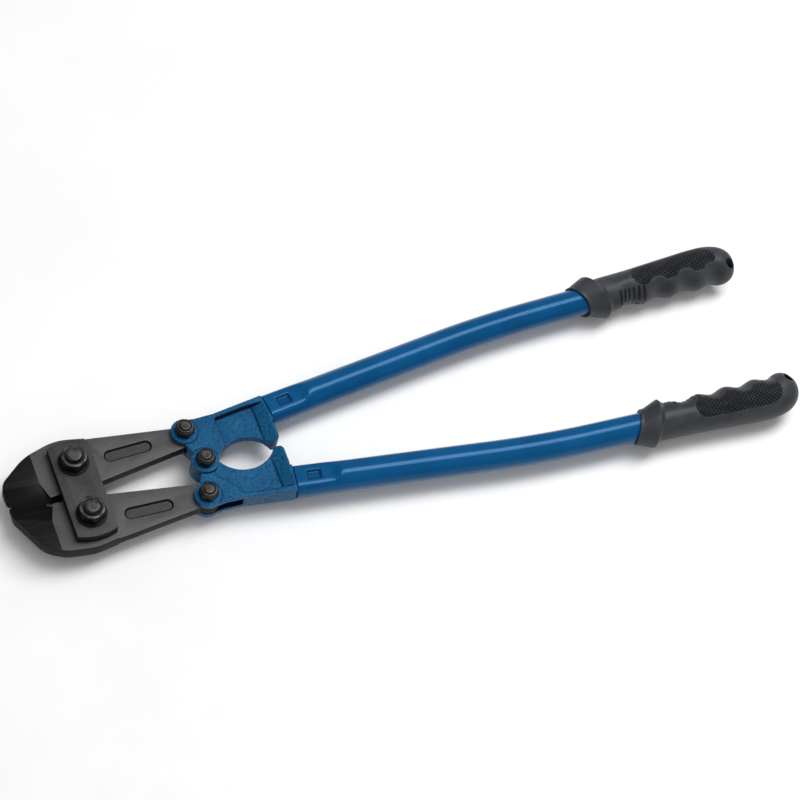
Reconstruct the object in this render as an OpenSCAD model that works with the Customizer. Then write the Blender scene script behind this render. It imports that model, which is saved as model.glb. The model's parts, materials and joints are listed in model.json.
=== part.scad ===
// Bolt cutters, 24 inch class, jaws closed.
// Plan frame used below: X runs from the link bolts (X = 0) back to the grips,
// Y is across the tool with the upper half at +Y, Z = 0 is the mid-plane.
// in_place() then puts the origin under the middle of the whole tool, on the floor.

/* [Jaws] */
// Thickness of the jaw heads
head_t = 11; // [9:0.5:13]
// Thickness of the jaw arms
arm_t = 8; // [6:0.5:8.5]
// Length of the cutting edges
blade_l = 26.5; // [25:0.5:27.5]
// Angle of each blade bevel from the mid-plane
bevel_angle = 20; // [17:1:26]
// Lean of the cutting line towards the upper jaw
edge_lean = 12; // [10:0.5:13]

/* [Link plates and bolts] */
// Half the distance between the two link bolts
link_y = 21.5; // [20.5:0.5:22.5]
// Width of a link plate along the tool
plate_w = 30; // [26:1:32]
// Length of a link plate from tip to tip
plate_l = 79; // [74:1:84]
// Thickness of a link plate
plate_t = 8; // [6:0.5:9]
// Diameter of the link bolts
link_d = 12; // [11:0.5:12]
// Diameter of the jaw bolts and the centre bolt
pin_d = 8; // [7:0.5:8]

/* [Handle castings] */
// Centre pivot, measured back from the link bolts
pivot_x = 93; // [92:0.5:94]
// Jaw bolts, measured back from the link bolts
jaw_pin_x = 86; // [85:0.5:87]
// Jaw bolts, measured out from the centre line
jaw_pin_y = 27; // [26:0.5:28]
// Outer radius of the bosses around the pivots
boss_r = 10; // [9.5:0.25:10]
// Height of the boss rims above and below the mid-plane
boss_z = 9; // [8.75:0.25:9.5]
// Half thickness of the casting rims and end blocks
rim_z = 7.8; // [7:0.2:8.2]
// Half thickness of the thin web
web_z = 3; // [2.6:0.2:3.4]

/* [Handles] */
// Tube diameter
tube_d = 22; // [20:0.5:23]
// Tube wall thickness
tube_wall = 2; // [1.5:0.25:2.5]
// Angle of the front stretch of the tube from the centre line
tube_angle = 7.4; // [6.5:0.1:8]
// Angle by which the tube bends back in the middle
tube_bend = 5.3; // [4:0.1:6]
// Radius of the largest part of the grip
grip_r = 16.4; // [15.5:0.1:17]
// Radius of the guard at the front of the grip
guard_r = 18.2; // [17.5:0.1:18.5]
// Diameter of the hanging hole through the grip
hang_d = 8; // [6:0.5:9]

/* [Hidden] */
$fn = 64;

// Fits and small gaps
run_gap = 0.05;          // radial gap of a turning pin
thread_gap = 0.02;       // radial gap of a screwed or pressed hole
face_gap = 0.1;          // gap between faces that slide
open_pivot_gap = 2.5;    // radial play at the upper link bolt
cut = 1;                 // how far a cutter runs past the face it cuts

// Jaw plan
jaw_gap = 2.6;           // half gap between the jaws behind the blades
edge_x = -26.5;          // rear end of the cutting edges
nose_x = edge_x - blade_l;
nose_thinning = 2.5;     // angle by which each face of the nose falls away
head_back_x = 15;        // the thick head ends under the link plates
tail_r = 9.6;
slot_x = 29;             // label recess: centre of its front end
slot_y = 24.3;
slot_l = 27;             // between the centres of its two ends
slot_w = 9.5;
slot_tilt = 1.7;
slot_depth = 1.2;
lower_arm_in = 1.1;      // the lower arm is wider on its inner side

// Fasteners
head_h = 7.5;
washer_r = 11.2;
washer_t = 1.5;
link_af = 18;
link_nut_h = 8;
link_stick_out = 3;
pin_af = 13;
pin_head_h = 5.3;
pin_nut_h = 7.6;
pin_stick_out = 0.6;
plate_top = head_t / 2 + face_gap + plate_t;

// Castings and tubes
end_x = 152;             // joint between casting and tube
axis_y = 31;             // handle axis at that joint
fork_z = arm_t / 2 + face_gap;
sweep_r = boss_r + 0.6;  // clearance radius round a pivot
arc_r = 24.7;            // finger opening between the castings
arc_x = 125.3;
arc_y = -11.8;
tang_l = 33;             // shank inside the tube
tang_r = 9.4;
tang_h = 13;             // over its two flats
flat_l = 30;             // flattened end of the tube
flat_h = 9;
flat_r = tube_d / 2 + 1;
crimp_x = 7;             // mark pressed into each flat
crimp_l = 14;
crimp_w = 10;
crimp_depth = 1;
front_l = 149;           // straight tube up to the bend
bend_r = 919;
bend_lap = 0.03;         // angle by which the bend laps over each straight stretch
bend_skin = 0.15;        // and how much it stands proud of them, inside and out
rear_l = 155;            // straight tube after the bend
bore_r = tube_d / 2 - tube_wall;

// Grip, measured along the handle axis from the end of the bend
grip_start = 38;
grip_l = 139.5;
grip_tip_r = 4.6;        // flat at the end of the rounded rear end
guard_slant = 22;
guard_x = 15;
guard_mouth_r = 13;      // front opening and its lip
guard_lip = 12;
groove_pitch = 24.5;
groove_r = 14;
groove_depth = 3;
heel_in = 2.4;           // the heel's axis lies this far inwards
hang_back = 8.7;         // hanging hole from the end of the grip
hang_in = 8.5;           // and inwards from the handle axis

// Whole tool
rear_angle = tube_angle - tube_bend;
tail_x = end_x + front_l * cos(tube_angle)
    + bend_r * (sin(tube_angle) - sin(rear_angle))
    + (grip_start + grip_l) * cos(rear_angle)
    + (grip_tip_r + heel_in) * sin(rear_angle);
floor_z = -(plate_top + head_h);

// Plan point given along (x) and across (y) the front stretch of the upper handle
function handle_point(x, y) =
    [end_x + x * cos(tube_angle) - y * sin(tube_angle),
     axis_y + x * sin(tube_angle) + y * cos(tube_angle)];

// Corner p rounded to radius r between its neighbours a and b
function rounded_corner(a, p, b, r, steps = 8) =
    let (u = (a - p) / norm(a - p),
         v = (b - p) / norm(b - p),
         half = acos(max(-1, min(1, u * v))) / 2,
         centre = p + (u + v) / norm(u + v) * r / sin(half),
         from = p + u * r / tan(half) - centre,
         to = p + v * r / tan(half) - centre,
         side = from[0] * to[1] - from[1] * to[0] > 0 ? 1 : -1,
         sweep = 180 - 2 * half)
    r == 0 ? [p] : [for (i = [0:steps])
        let (t = side * sweep * i / steps)
        centre + [from[0] * cos(t) - from[1] * sin(t), from[0] * sin(t) + from[1] * cos(t)]];

// Closed outline through corners given as [x, y, radius]
function rounded_outline(c) =
    let (n = len(c))
    [for (i = [0:n - 1])
        let (a = c[(i + n - 1) % n], p = c[i], b = c[(i + 1) % n])
        each rounded_corner([a[0], a[1]], [p[0], p[1]], [b[0], b[1]], p[2])];

module in_place() {
    translate([-(nose_x + tail_x) / 2, 0, -floor_z])
        children();
}

// A slab of plan outline between two heights
module slab(z0, z1) {
    translate([0, 0, z0])
        linear_extrude(z1 - z0)
            children();
}

// ---- Jaws ----------------------------------------------------------------

// Nose outlines, from the tip of the cutting edge round to the shoulder. The upper
// nose is the fuller one; the lower one is given as seen with the tool turned over.
upper_nose = [[nose_x, 22, 12], [nose_x + 21, 38.6, 40], [nose_x + 47, 46.4, 40],
    [head_back_x - 1, 42.5, 10]];
lower_nose = [[nose_x + 1, 5.5, 8], [nose_x + 15.8, 34.2, 22], [nose_x + 30.5, 41.5, 25],
    [nose_x + 51, 44, 30], [head_back_x - 1, 41.5, 10]];

// Plan of a jaw with its arm and tail; lean is the lean of its cutting edge, and
// arm_in how far the inner edge of its arm stands in
module jaw_plan(nose, lean, tip_x, arm_in) {
    polygon(rounded_outline(concat(
        [[edge_x, 0, 0],
         [tip_x, (edge_x - tip_x) * tan(lean), 2.5]],
        nose,
        [[jaw_pin_x - 8, 33.9, 20],
         [jaw_pin_x + 4, jaw_pin_y + tail_r - 3, 4],
         [jaw_pin_x + 4, jaw_pin_y - tail_r + 3, 4],
         [jaw_pin_x - 3, 16.2 - arm_in, 5],
         [head_back_x + 1, 5.9 - arm_in, 20],
         [edge_x + 4.2, jaw_gap, 2]])));
    translate([jaw_pin_x, jaw_pin_y])
        circle(r = tail_r);
}

// What the grinding of one face of the blade takes away, above the mid-plane
module blade_grind(lean) {
    intersection() {
        translate([edge_x, 0, 0])
            rotate([0, 0, 180 - lean])
                rotate([-bevel_angle, 0, 0])
                    translate([-20, -40, 0])
                        cube([80, 80, 20]);
        slab(-cut, head_t)
            polygon([[-70, -16], [edge_x + 5.5, -16], [edge_x + 4.2, jaw_gap], [edge_x, 15.5],
                [edge_x, 40], [-70, 40]]);
    }
    translate([edge_x, -30, head_t / 2])
        rotate([0, 180 - nose_thinning, 0])
            mirror([0, 0, 1])
                cube([60, 100, 10]);
}

// Plan outline cut off in front of x = from and behind x = to, over a thickness t
module jaw_layer(nose, lean, tip_x, arm_in, t, from, to) {
    intersection() {
        slab(-t / 2, t / 2)
            jaw_plan(nose, lean, tip_x, arm_in);
        translate([from, -20, -t])
            cube([to - from, 80, 2 * t]);
    }
}

module jaw(nose, lean, tip_x, arm_in, link_hole_r) {
    tail_x = jaw_pin_x + boss_r;
    difference() {
        union() {
            jaw_layer(nose, lean, tip_x, arm_in, head_t, nose_x - cut, head_back_x);
            jaw_layer(nose, lean, tip_x, arm_in, arm_t, head_back_x - cut, tail_x);
        }
        for (side = [0, 1])
            mirror([0, 0, side]) {
                blade_grind(lean);
                slab(arm_t / 2 - slot_depth, arm_t)
                    label_recess();
            }
        translate([0, link_y, -head_t])
            cylinder(r = link_hole_r, h = 2 * head_t);
        translate([jaw_pin_x, jaw_pin_y, -head_t])
            cylinder(r = pin_d / 2 + run_gap, h = 2 * head_t);
    }
}

// Long recess on the face of the arm, left blank
module label_recess() {
    translate([slot_x, slot_y])
        rotate(slot_tilt) {
            circle(d = slot_w);
            translate([slot_l, 0])
                circle(d = slot_w);
            translate([0, -slot_w / 2])
                square([slot_l, slot_w]);
        }
}

module upper_jaw() {
    color("dimgray")
        jaw(upper_nose, edge_lean, nose_x, 0, link_d / 2 + open_pivot_gap);
}

module lower_jaw() {
    color("dimgray")
        mirror([0, 1, 0])
            jaw(lower_nose, -edge_lean, nose_x + 0.6, lower_arm_in, link_d / 2 + run_gap);
}

// ---- Link plates ---------------------------------------------------------

module link_plate() {
    tip_r = 40;
    slab(head_t / 2 + face_gap, plate_top)
        difference() {
            intersection() {
                square([plate_w, plate_l], center = true);
                translate([0, plate_l / 2 - tip_r])
                    circle(r = tip_r, $fn = 160);
                translate([0, tip_r - plate_l / 2])
                    circle(r = tip_r, $fn = 160);
            }
            for (side = [-1, 1])
                translate([0, side * link_y])
                    circle(r = link_d / 2 + thread_gap);
        }
}

module front_link_plate() {
    color("darkslategray")
        link_plate();
}

module back_link_plate() {
    color("darkslategray")
        mirror([0, 0, 1])
            link_plate();
}

// ---- Fasteners -----------------------------------------------------------

// Hexagon of a given height with its corners turned off at the top
module hexagon(af, h) {
    corner_r = af / sqrt(3);
    intersection() {
        cylinder(r = corner_r, h = h, $fn = 6);
        rotate_extrude()
            polygon([[0, 0], [corner_r + cut, 0], [corner_r + cut, h - 1.4],
                [af / 2 * 0.94, h], [0, h]]);
    }
}

// Bolt whose head sits under z0 and whose shank ends at z1
module bolt(d, af, h, z0, z1, dome) {
    translate([0, 0, z0])
        mirror([0, 0, 1])
            hexagon(af, h);
    translate([0, 0, z0])
        rotate_extrude()
            polygon([[0, 0], [d / 2, 0], [d / 2, z1 - z0 - dome], [d / 2 * 0.72, z1 - z0], [0, z1 - z0]]);
}

// Self-locking nut on z0: a chamfered hexagon with a rolled collar over a nylon ring
module lock_nut(d, af, h) {
    collar_h = h * 0.28;
    difference() {
        union() {
            hexagon(af, h - collar_h);
            rotate_extrude()
                polygon([[0, 0], [af / 2 * 0.94, 0], [af / 2 * 0.94, h - collar_h],
                    [af / 2 * 0.86, h - 0.5], [af / 2 * 0.8, h], [0, h]]);
        }
        translate([0, 0, -cut])
            cylinder(r = d / 2 + thread_gap, h = h + 2 * cut);
        translate([0, 0, h - collar_h - 0.3])
            cylinder(r = d / 2 * 1.26, h = h);
    }
}

module nut_insert(d, h) {
    collar_h = h * 0.28;
    translate([0, 0, h - collar_h - 0.3])
        difference() {
            cylinder(r = d / 2 * 1.26, h = collar_h - 0.2);
            translate([0, 0, -cut])
                cylinder(r = d / 2 + thread_gap, h = h);
        }
}

module at_link_bolt(side) {
    translate([0, side * link_y, 0])
        children();
}

module at_jaw_pin(side) {
    translate([jaw_pin_x, side * jaw_pin_y, 0])
        children();
}

module at_pivot() {
    translate([pivot_x, 0, 0])
        children();
}

module link_bolt() {
    color("dimgray")
        bolt(link_d, link_af, head_h, -plate_top,
            plate_top + washer_t + link_nut_h + link_stick_out, 2);
}

module link_washer() {
    color("dimgray")
        slab(plate_top, plate_top + washer_t)
            difference() {
                circle(r = washer_r);
                circle(r = link_d / 2 + thread_gap);
            }
}

module link_nut() {
    color("dimgray")
        translate([0, 0, plate_top + washer_t])
            lock_nut(link_d, link_af, link_nut_h);
}

module link_nut_insert() {
    color("black")
        translate([0, 0, plate_top + washer_t])
            nut_insert(link_d, link_nut_h);
}

module pin_bolt() {
    color("dimgray")
        bolt(pin_d, pin_af, pin_head_h, -boss_z, boss_z + pin_nut_h + pin_stick_out, 0.8);
}

module pin_nut() {
    color("dimgray")
        translate([0, 0, boss_z])
            lock_nut(pin_d, pin_af, pin_nut_h);
}

module pin_nut_insert() {
    color("black")
        translate([0, 0, boss_z])
            nut_insert(pin_d, pin_nut_h);
}

// ---- Castings ------------------------------------------------------------

// Whole plan of a casting without its pivot bosses
module casting_plan() {
    end_inner = handle_point(-face_gap, -11.2);
    end_outer = handle_point(-face_gap, 10.6);
    difference() {
        polygon(rounded_outline([
            [jaw_pin_x - 3.5, 18.5, 0],
            [jaw_pin_x + 1, 9, 4],
            [pivot_x - 5.5, 5, 0],
            [pivot_x + 8, 0.6, 0],
            [end_x - 7, 1.8, 0],
            [end_x + 0.5, 1.8, 5],
            [end_x + 0.2, 17, 4],
            [end_inner[0] - 1.5, 20, 0],
            [end_inner[0], end_inner[1], 0],
            [end_outer[0], end_outer[1], 1],
            [jaw_pin_x + 24, 35.8, 30],
            [jaw_pin_x + 10, 35.6, 10],
            [jaw_pin_x, jaw_pin_y + boss_r, 0]]));
        translate([arc_x, arc_y])
            circle(r = arc_r, $fn = 128);
    }
}

// Raised ground of the casting round the jaw bolt and the centre pivot
module plateau_plan(reaches_pivot) {
    intersection() {
        casting_plan();
        polygon(reaches_pivot
            ? [[60, 60], [60, -10], [pivot_x + 10, -10], [pivot_x + 10, 0], [112, 10], [110, 60]]
            : [[60, 60], [60, 0], [pivot_x + 2.5, 0], [pivot_x + 3, 13.3], [102.4, 18.2], [111.5, 29.6],
                [111.5, 60]]);
    }
}

// Outer rib and end block, in plan
module rim_plan() {
    difference() {
        casting_plan();
        polygon([[60, -20], [60, 32], [110, 32], [end_x - 10, 36.6], [end_x - 10, -20]]);
    }
}

// The end block slopes down to the web over this wedge
module end_slope() {
    rise = rim_z - web_z;
    run = 9.5;
    translate([end_x - 11, -10, web_z])
        rotate([0, -atan(rise / run), 0])
            cube([run * 1.6, 46.2, 20]);
}

module casting_half_thickness(reaches_pivot) {
    slab(0, web_z)
        casting_plan();
    slab(0, rim_z)
        plateau_plan(reaches_pivot);
    slab(0, boss_z)
        translate([jaw_pin_x, jaw_pin_y])
            circle(r = boss_r);
    difference() {
        slab(0, rim_z)
            rim_plan();
        end_slope();
    }
    slab(0, rim_z)
        intersection() {
            casting_plan();
            polygon([[100, 32.2], [end_x + 5, 37.4], [end_x + 5, 60], [100, 60]]);
        }
}

// Space that the jaw tail turns in, open towards the outside of the tool
module tail_fork() {
    slab(-fork_z, fork_z) {
        translate([jaw_pin_x, jaw_pin_y])
            circle(r = boss_r + 1);
        translate([60, jaw_pin_y - 12])
            square([jaw_pin_x - 60, 43]);
        translate([jaw_pin_x - 1, jaw_pin_y + 1.5])
            square([26, 30]);
    }
}

// Bar of tang section along X
module tang_bar(from, to) {
    intersection() {
        translate([from, 0, 0])
            rotate([0, 90, 0])
                cylinder(r = tang_r, h = to - from);
        translate([from, -tang_r, -tang_h / 2])
            cube([to - from, 2 * tang_r, tang_h]);
    }
}

// Shank that the tube is pressed on
module tang() {
    along_handle()
        tang_bar(-4, tang_l);
}

module casting(reaches_pivot) {
    difference() {
        union() {
            for (side = [0, 1])
                mirror([0, 0, side])
                    casting_half_thickness(reaches_pivot);
            tang();
            children();
        }
        tail_fork();
        translate([jaw_pin_x, jaw_pin_y, -boss_z - cut])
            cylinder(r = pin_d / 2 + thread_gap, h = 2 * (boss_z + cut));
    }
}

// Upper casting: two cheeks at the pivot, one over and one under the tongue
module upper_casting() {
    color("steelblue")
        difference() {
            casting(true) {
                at_pivot()
                    translate([0, 0, -boss_z])
                        cylinder(r = boss_r, h = 2 * boss_z);
            }
            at_pivot()
                translate([0, 0, -web_z - face_gap])
                    cylinder(r = sweep_r, h = 2 * (web_z + face_gap));
            at_pivot()
                translate([0, 0, -boss_z - cut])
                    cylinder(r = pin_d / 2 + run_gap, h = 2 * (boss_z + cut));
        }
}

// Lower casting: one tongue at the pivot
module lower_casting() {
    color("steelblue")
        mirror([0, 1, 0])
            difference() {
                union() {
                    difference() {
                        casting(false);
                        at_pivot()
                            translate([0, 0, -boss_z - cut])
                                cylinder(r = sweep_r, h = 2 * (boss_z + cut));
                    }
                    at_pivot()
                        translate([0, 0, -web_z])
                            cylinder(r = boss_r, h = 2 * web_z);
                    slab(-web_z, web_z)
                        intersection() {
                            casting_plan();
                            translate([pivot_x, 0])
                                circle(r = sweep_r + 1);
                        }
                }
                tail_fork();
                at_pivot()
                    translate([0, 0, -boss_z - cut])
                        cylinder(r = pin_d / 2 + thread_gap, h = 2 * (boss_z + cut));
            }
}

// ---- Tubes ---------------------------------------------------------------

module ring(r_out, r_in) {
    difference() {
        circle(r = r_out);
        circle(r = r_in);
    }
}

// Frame at the front end of the handle, X along the handle
module along_handle() {
    translate([end_x, axis_y, 0])
        rotate(tube_angle)
            children();
}

// Straight pipe along X
module pipe(r_out, r_in, l) {
    rotate([0, 90, 0])
        linear_extrude(l)
            ring(r_out, r_in);
}

// Flattened end that grips the tang
module flattened_end() {
    difference() {
        union() {
            intersection() {
                rotate([0, 90, 0])
                    cylinder(r = flat_r, h = flat_l);
                translate([0, -flat_r, -flat_h])
                    cube([flat_l, 2 * flat_r, 2 * flat_h]);
            }
            translate([flat_l, 0, 0])
                rotate([0, 90, 0])
                    cylinder(r1 = flat_r, r2 = tube_d / 2, h = tang_l - flat_l);
        }
        tang_bar(-cut, tang_l + cut);
        for (side = [-1, 1])
            translate([crimp_x, -crimp_w / 2, side * flat_h - crimp_depth])
                cube([crimp_l, crimp_w, 2 * crimp_depth]);
    }
}

// Frame at the rear end of the bend, X along the rear stretch of the handle
module along_rear() {
    along_handle()
        translate([front_l, -bend_r, 0])
            rotate(-tube_bend)
                translate([0, bend_r, 0])
                    children();
}

module tube() {
    outer_r = tube_d / 2;
    along_handle() {
        flattened_end();
        translate([tang_l, 0, 0])
            pipe(outer_r, bore_r, front_l - tang_l);
    }
    along_rear() {
        pipe(outer_r, bore_r, rear_l);
        translate([0, -bend_r, 0])
            rotate(90 - bend_lap)
                rotate_extrude(angle = tube_bend + 2 * bend_lap, $fn = 720)
                    translate([bend_r, 0])
                        ring(outer_r + bend_skin, bore_r - bend_skin, $fn = 64);
    }
}

module upper_tube() {
    color("royalblue")
        tube();
}

module lower_tube() {
    color("royalblue")
        rotate([180, 0, 0])
            tube();
}

// ---- Grips ---------------------------------------------------------------

// Frame at the front end of the grip
module along_grip() {
    along_rear()
        translate([grip_start, 0, 0])
            children();
}

// Turned shape of the grip, from the front opening to the rounded end
module grip_body() {
    rotate([0, 90, 0])
        rotate_extrude()
            polygon([[0, -guard_lip], [guard_mouth_r, -guard_lip], [guard_mouth_r, 4], [15, 14],
                [14.2, 24], [14.2, 45], [grip_r - 1, 75], [grip_r, 100], [grip_r, grip_l - 20],
                [grip_r - 1.4, grip_l - 11], [grip_r - 4.4, grip_l - 5], [grip_r - 8, grip_l - 1.4],
                [grip_tip_r, grip_l], [0, grip_l]]);
}

// Heel of the hand rest: the rear end is fuller on the inner side
module grip_heel() {
    translate([0, -heel_in, 0])
        rotate([0, 90, 0])
            rotate_extrude()
                polygon([[0, 105], [11, 105], [15, 113], [15.8, 120], [15.6, grip_l - 11],
                    [13.6, grip_l - 5], [9, grip_l - 1], [grip_tip_r, grip_l], [0, grip_l]]);
}

// Ridge in front of the hand, slanting forwards on the outer side
module guard() {
    translate([guard_x, 0, 0])
        rotate([0, 90, guard_slant])
            rotate_extrude()
                polygon([[0, -7], [guard_mouth_r + 1.4, -7], [guard_r - 0.6, -1], [guard_r, 0],
                    [guard_r - 0.6, 1.5], [14.5, 6.5], [0, 6.5]]);
}

module grip() {
    along_grip()
        difference() {
            intersection() {
                union() {
                    grip_body();
                    grip_heel();
                    guard();
                }
                rotate([0, 0, guard_slant])
                    translate([0, -120, -40])
                        cube([grip_l + 80, 240, 80]);
            }
            // finger grooves on the inner side
            for (i = [0:3])
                translate([groove_pitch * i + 42, -grip_r - groove_r + groove_depth, -40])
                    cylinder(r = groove_r, h = 80);
            // blind hole for the tube
            translate([-30, 0, 0])
                rotate([0, 90, 0])
                    cylinder(r = tube_d / 2 + thread_gap, h = 30 + rear_l - grip_start);
            translate([grip_l - hang_back, -hang_in, -40])
                cylinder(r = hang_d / 2, h = 80);
        }
}

module upper_grip() {
    color("black")
        grip();
}

module lower_grip() {
    color("black")
        mirror([0, 1, 0])
            grip();
}

in_place() upper_jaw();
in_place() lower_jaw();
in_place() front_link_plate();
in_place() back_link_plate();
in_place() at_link_bolt(1) link_bolt();  // upper_link_bolt
in_place() at_link_bolt(-1) link_bolt();  // lower_link_bolt
in_place() at_link_bolt(1) link_washer();  // upper_link_washer
in_place() at_link_bolt(-1) link_washer();  // lower_link_washer
in_place() at_link_bolt(1) link_nut();  // upper_link_nut
in_place() at_link_bolt(-1) link_nut();  // lower_link_nut
in_place() at_link_bolt(1) link_nut_insert();  // upper_link_nut_insert
in_place() at_link_bolt(-1) link_nut_insert();  // lower_link_nut_insert
in_place() upper_casting();
in_place() lower_casting();
in_place() at_jaw_pin(1) pin_bolt();  // upper_jaw_bolt
in_place() at_jaw_pin(-1) pin_bolt();  // lower_jaw_bolt
in_place() at_pivot() pin_bolt();  // centre_bolt
in_place() at_jaw_pin(1) pin_nut();  // upper_jaw_nut
in_place() at_jaw_pin(-1) pin_nut();  // lower_jaw_nut
in_place() at_pivot() pin_nut();  // centre_nut
in_place() at_jaw_pin(1) pin_nut_insert();  // upper_jaw_nut_insert
in_place() at_jaw_pin(-1) pin_nut_insert();  // lower_jaw_nut_insert
in_place() at_pivot() pin_nut_insert();  // centre_nut_insert
in_place() upper_tube();
in_place() lower_tube();
in_place() upper_grip();
in_place() lower_grip();
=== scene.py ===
import json
from math import cos, pi, radians, sin, sqrt, tan

import bmesh
import bpy
import numpy as np
from mathutils import Matrix, Vector, noise


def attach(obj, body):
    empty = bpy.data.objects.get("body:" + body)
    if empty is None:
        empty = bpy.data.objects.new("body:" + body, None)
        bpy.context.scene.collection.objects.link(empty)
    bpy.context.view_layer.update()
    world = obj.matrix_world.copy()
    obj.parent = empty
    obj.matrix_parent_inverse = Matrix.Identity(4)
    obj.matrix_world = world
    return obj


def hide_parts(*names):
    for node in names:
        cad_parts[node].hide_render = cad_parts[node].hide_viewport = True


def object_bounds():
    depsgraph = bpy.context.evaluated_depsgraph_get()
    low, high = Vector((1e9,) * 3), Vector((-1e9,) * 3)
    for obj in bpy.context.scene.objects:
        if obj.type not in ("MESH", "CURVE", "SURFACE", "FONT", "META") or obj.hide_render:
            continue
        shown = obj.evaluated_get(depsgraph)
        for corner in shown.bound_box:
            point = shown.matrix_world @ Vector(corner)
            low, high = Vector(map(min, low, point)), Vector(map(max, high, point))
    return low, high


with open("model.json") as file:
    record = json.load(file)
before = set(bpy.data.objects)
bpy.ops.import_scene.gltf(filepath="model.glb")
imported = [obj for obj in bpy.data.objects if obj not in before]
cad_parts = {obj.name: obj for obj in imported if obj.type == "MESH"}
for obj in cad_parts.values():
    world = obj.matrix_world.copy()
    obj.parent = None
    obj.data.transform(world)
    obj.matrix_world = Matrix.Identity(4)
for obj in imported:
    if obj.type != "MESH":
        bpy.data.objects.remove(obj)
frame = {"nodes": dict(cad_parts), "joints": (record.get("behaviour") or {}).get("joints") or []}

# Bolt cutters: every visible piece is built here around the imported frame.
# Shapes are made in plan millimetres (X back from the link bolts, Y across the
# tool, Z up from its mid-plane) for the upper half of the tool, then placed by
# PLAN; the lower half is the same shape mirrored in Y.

cad_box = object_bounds()

MM = 0.001
joint_at = {j["name"]: Vector(j["pos_m"]) for j in frame["joints"]}
link_at = joint_at["link_plate_pivot"]
PLAN = Matrix.Translation((link_at.x, 0, link_at.z)) @ Matrix.Scale(MM, 4)
MIRROR = Matrix.Scale(-1, 4, (0, 1, 0))


def plan_place(name):
    """Where a joint is, in plan millimetres, on the upper half of the tool."""
    p = joint_at[name]
    return (p.x - link_at.x) / MM, abs(p.y) / MM


LINK_Y = plan_place("link_plate_pivot")[1]
PIN_X, PIN_Y = plan_place("upper_jaw_pivot")
PIVOT_X, _ = plan_place("handle_opening")

NOSE_X = -26.0                    # the ground nose of the jaws lies ahead of this

# Handle axis, as in the frame: straight, one long bend, straight again
END_X, AXIS_Y = 152.0, 31.0       # where a tube meets the shoulder of its casting
TUBE_ANGLE = radians(7.4)
TUBE_BEND = radians(5.3)
REAR_ANGLE = TUBE_ANGLE - TUBE_BEND
FRONT_L, BEND_R, REAR_L = 149.0, 919.0, 155.0
BEND_L = BEND_R * TUBE_BEND
TUBE_R = 11.0
GRIP_START, GRIP_L = 38.0, 138.4  # from the end of the bend; 1.1 mm shorter than in the frame


def smooth(t):
    """0 below 0, 1 above 1, and smooth between."""
    t = np.clip(t, 0, 1)
    return t * t * (3 - 2 * t)


def between(x, a, b):
    """0 up to a, 1 from b, and smooth between."""
    return smooth((x - a) / (b - a))


# ---- Meshes --------------------------------------------------------------


def to_mesh(name, verts, faces):
    """A new mesh of these points and faces."""
    mesh = bpy.data.meshes.new(name)
    mesh.from_pydata([tuple(v) for v in verts], [], faces)
    mesh.validate()
    return mesh


def link_object(name, mesh):
    """A new object in the scene that shows the mesh, or other data."""
    obj = bpy.data.objects.new(name, mesh)
    bpy.context.scene.collection.objects.link(obj)
    return obj


def rings_mesh(name, rings):
    """Closed skin over rings of points, n rings of m points each, with flat ends."""
    rings = np.asarray(rings, float)
    n, m, _ = rings.shape
    verts = rings.reshape(-1, 3)
    i = np.arange(n - 1)[:, None] * m
    j = np.arange(m)[None, :]
    k = (j + 1) % m
    quads = np.stack([i + j, i + k, i + m + k, i + m + j], -1).reshape(-1, 4)
    faces = quads.tolist()
    faces.append(list(range(m))[::-1])
    faces.append(list(range((n - 1) * m, n * m)))
    return to_mesh(name, verts, faces)


def put_attribute(mesh, name, values):
    """Give each point of the mesh a number that its material can read."""
    attribute = mesh.attributes.new(name, "FLOAT", "POINT")
    attribute.data.foreach_set("value", np.asarray(values, np.float32))


def outward(mesh):
    """Turn all normals outwards."""
    bm = bmesh.new()
    bm.from_mesh(mesh)
    bmesh.ops.recalc_face_normals(bm, faces=bm.faces)
    bm.to_mesh(mesh)
    bm.free()


def modified(obj):
    """The mesh that obj's modifiers make. Obj itself is taken off the scene."""
    graph = bpy.context.evaluated_depsgraph_get()
    mesh = bpy.data.meshes.new_from_object(obj.evaluated_get(graph))
    bpy.data.objects.remove(obj)
    return mesh


def shade(mesh, angle):
    """Smooth shading, but sharp at edges of more than angle degrees."""
    mesh.shade_smooth()
    mesh.set_sharp_from_angle(angle=radians(angle))


def face_data(mesh):
    """Centres and normals of the faces."""
    count = len(mesh.polygons)
    centres = np.empty(count * 3)
    normals = np.empty(count * 3)
    mesh.polygons.foreach_get("center", centres)
    mesh.polygons.foreach_get("normal", normals)
    return centres.reshape(-1, 3), normals.reshape(-1, 3)


def set_materials(mesh, indices):
    """Give each face the material with its index."""
    mesh.polygons.foreach_set("material_index", np.asarray(indices, np.int32))


def finish_piece(name, mesh, body, node, materials, place=PLAN, angle=35):
    """Place a plan-millimetre mesh, give it its materials and hang it on its body."""
    mesh = mesh.copy()
    mesh.name = name
    mesh.transform(place)
    if place.determinant() < 0:
        mesh.flip_normals()
    outward(mesh)
    shade(mesh, angle)
    obj = link_object(name, mesh)
    if len(mesh.materials) == 0:
        for material in materials:
            mesh.materials.append(material)
    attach(obj, body)
    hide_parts(node)
    return obj


def both_halves(part, mesh, body_of, materials, angle=35):
    """The upper piece and its mirror image."""
    for half, place in (("upper", PLAN), ("lower", PLAN @ MIRROR)):
        finish_piece(f"{half}_{part}_look", mesh, body_of[half], f"{half}_{part}",
                     materials, place, angle)


# The body that each half of a pair rides on
HANDLES = {"upper": "upper_handle", "lower": "lower_handle"}
JAWS = {"upper": "upper_jaw", "lower": "lower_jaw"}
LINKS = {"upper": "link_plates", "lower": "link_plates"}


# ---- Materials -----------------------------------------------------------


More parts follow.
